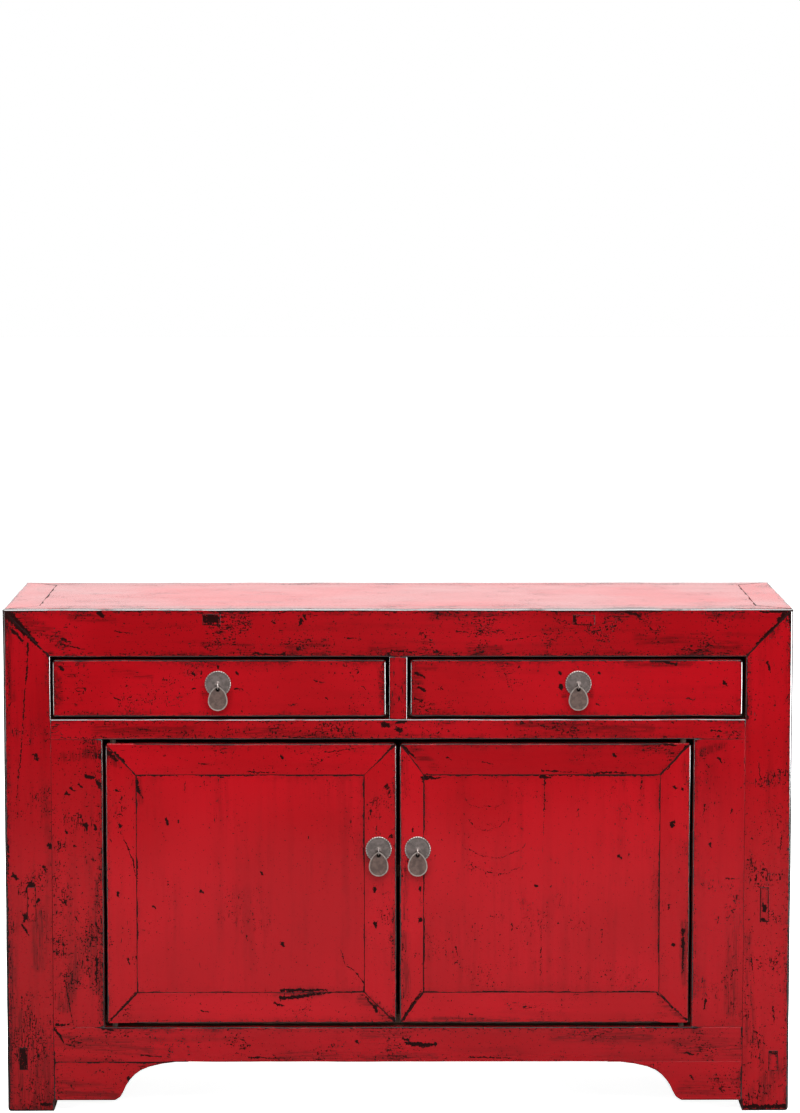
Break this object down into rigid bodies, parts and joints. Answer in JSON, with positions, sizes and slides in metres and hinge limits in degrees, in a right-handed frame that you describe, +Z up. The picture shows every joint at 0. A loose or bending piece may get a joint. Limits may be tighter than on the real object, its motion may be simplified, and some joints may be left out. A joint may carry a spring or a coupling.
{
  "type": "chinese wedding cabinet",
  "caption": "Low red-lacquered cabinet: drawers over hinged doors between wing boards, a flush mitred top, shaped brackets, round back plates and teardrop pulls.",
  "frame": {"origin": "on the floor, at the centre of the plan of the whole cabinet with its pulls", "axes": "+X to the right as seen from the front, +Y from the front to the back, +Z up; the doors and drawers face -Y"},
  "size_m": [1.31, 0.4136, 0.849],
  "materials": {
    "red_lacquer": "glossy red lacquer, rubbed through to a dark ground at the edges",
    "bare_elm": "dry unlacquered elm, darkened with age",
    "aged_metal": "aged, hand-rubbed, bright on the rims"
  },
  "bodies": {
    "cabinet": {"leg_front_left": "red_lacquer", "leg_front_right": "red_lacquer", "leg_back_left": "red_lacquer", "leg_back_right": "red_lacquer", "top_rail_front": "red_lacquer", "top_rail_back": "bare_elm", "top_rail_left": "red_lacquer", "top_rail_right": "red_lacquer", "top_panel": "red_lacquer", "top_battens": "bare_elm", "drawer_rail": "red_lacquer", "drawer_divider": "red_lacquer", "wing_board_left": "red_lacquer", "wing_board_right": "red_lacquer", "bottom_rail_front": "red_lacquer", "bottom_rail_back": "bare_elm", "bottom_rail_left": "red_lacquer", "bottom_rail_right": "red_lacquer", "apron_brackets": "red_lacquer", "shelf_bearer_left": "bare_elm", "shelf_bearer_right": "bare_elm", "side_panel_left": "red_lacquer", "side_panel_right": "red_lacquer", "back_panel": "bare_elm", "back_middle_rail": "bare_elm", "floor_board": "bare_elm", "shelf": "bare_elm", "drawer_runners": "bare_elm"},
    "door_left": {"door_left_hinge_stile": "red_lacquer", "door_left_lock_stile": "red_lacquer", "door_left_top_rail": "red_lacquer", "door_left_bottom_rail": "red_lacquer", "door_left_panel": "red_lacquer", "door_left_batten": "bare_elm", "door_left_plate": "aged_metal", "door_left_pin": "aged_metal"},
    "door_right": {"door_right_hinge_stile": "red_lacquer", "door_right_lock_stile": "red_lacquer", "door_right_top_rail": "red_lacquer", "door_right_bottom_rail": "red_lacquer", "door_right_panel": "red_lacquer", "door_right_batten": "bare_elm", "door_right_plate": "aged_metal", "door_right_pin": "aged_metal"},
    "drawer_left": {"drawer_left_front": "red_lacquer", "drawer_left_sides": "bare_elm", "drawer_left_back": "bare_elm", "drawer_left_bottom": "bare_elm", "drawer_left_plate": "aged_metal", "drawer_left_pin": "aged_metal"},
    "drawer_right": {"drawer_right_front": "red_lacquer", "drawer_right_sides": "bare_elm", "drawer_right_back": "bare_elm", "drawer_right_bottom": "bare_elm", "drawer_right_plate": "aged_metal", "drawer_right_pin": "aged_metal"},
    "door_left_pull_body": {"door_left_pull": "aged_metal"},
    "door_right_pull_body": {"door_right_pull": "aged_metal"},
    "drawer_left_pull_body": {"drawer_left_pull": "aged_metal"},
    "drawer_right_pull_body": {"drawer_right_pull": "aged_metal"}
  },
  "joints": [
    {"name": "door_left_hinge", "type": "hinge", "parent": "cabinet", "child": "door_left", "pos_m": [-0.4745, -0.1832, 0.387], "axis": [0, 0, -1], "range_deg": [0, 110]},
    {"name": "door_right_hinge", "type": "hinge", "parent": "cabinet", "child": "door_right", "pos_m": [0.4745, -0.1832, 0.387], "axis": [0, 0, 1], "range_deg": [0, 110]},
    {"name": "drawer_left_slide", "type": "slide", "parent": "cabinet", "child": "drawer_left", "axis": [0, -1, 0], "range_m": [0, 0.25]},
    {"name": "drawer_right_slide", "type": "slide", "parent": "cabinet", "child": "drawer_right", "axis": [0, -1, 0], "range_m": [0, 0.25]},
    {"name": "door_left_pull_swing", "type": "hinge", "parent": "door_left", "child": "door_left_pull_body", "pos_m": [-0.0325, -0.2011, 0.4425], "axis": [-1, 0, 0], "range_deg": [0, 100]},
    {"name": "door_right_pull_swing", "type": "hinge", "parent": "door_right", "child": "door_right_pull_body", "pos_m": [0.0325, -0.2011, 0.4425], "axis": [-1, 0, 0], "range_deg": [0, 100]},
    {"name": "drawer_left_pull_swing", "type": "hinge", "parent": "drawer_left", "child": "drawer_left_pull_body", "pos_m": [-0.299, -0.2011, 0.721], "axis": [-1, 0, 0], "range_deg": [0, 100]},
    {"name": "drawer_right_pull_swing", "type": "hinge", "parent": "drawer_right", "child": "drawer_right_pull_body", "pos_m": [0.299, -0.2011, 0.721], "axis": [-1, 0, 0], "range_deg": [0, 100]}
  ]
}
